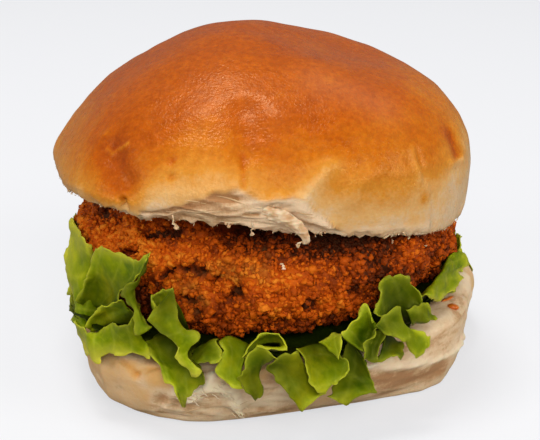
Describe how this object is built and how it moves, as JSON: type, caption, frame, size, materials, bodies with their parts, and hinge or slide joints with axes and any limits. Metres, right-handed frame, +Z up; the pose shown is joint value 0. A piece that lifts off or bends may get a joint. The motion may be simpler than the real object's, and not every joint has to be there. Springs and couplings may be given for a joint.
{
  "type": "breaded mussel burger in a soft white roll",
  "caption": "Breaded mussel burger: a domed browned roll over a thick crumbed patty and frilled lettuce on a torn soft roll base, held as one stack.",
  "frame": {"origin": "middle of the flat underside of the lower half of the roll, on the surface it stands on", "axes": "+Z up through the stack, the front of the burger faces -Y, and +X is to the right as seen from the front"},
  "size_m": [0.1109, 0.1112, 0.0875],
  "materials": {
    "bun_crumb": "matte pale bread skin and torn crumb",
    "lettuce": "thin fresh green leaf with a soft sheen",
    "breading": "rough deep-fried orange-brown crumb",
    "bun_crust": "thin browned crust with a satin sheen"
  },
  "bodies": {
    "root": {"bun_bottom": "bun_crumb", "lettuce_outer": "lettuce", "lettuce_inner": "lettuce", "patty": "breading", "bun_top": "bun_crust"}
  },
  "joints": []
}
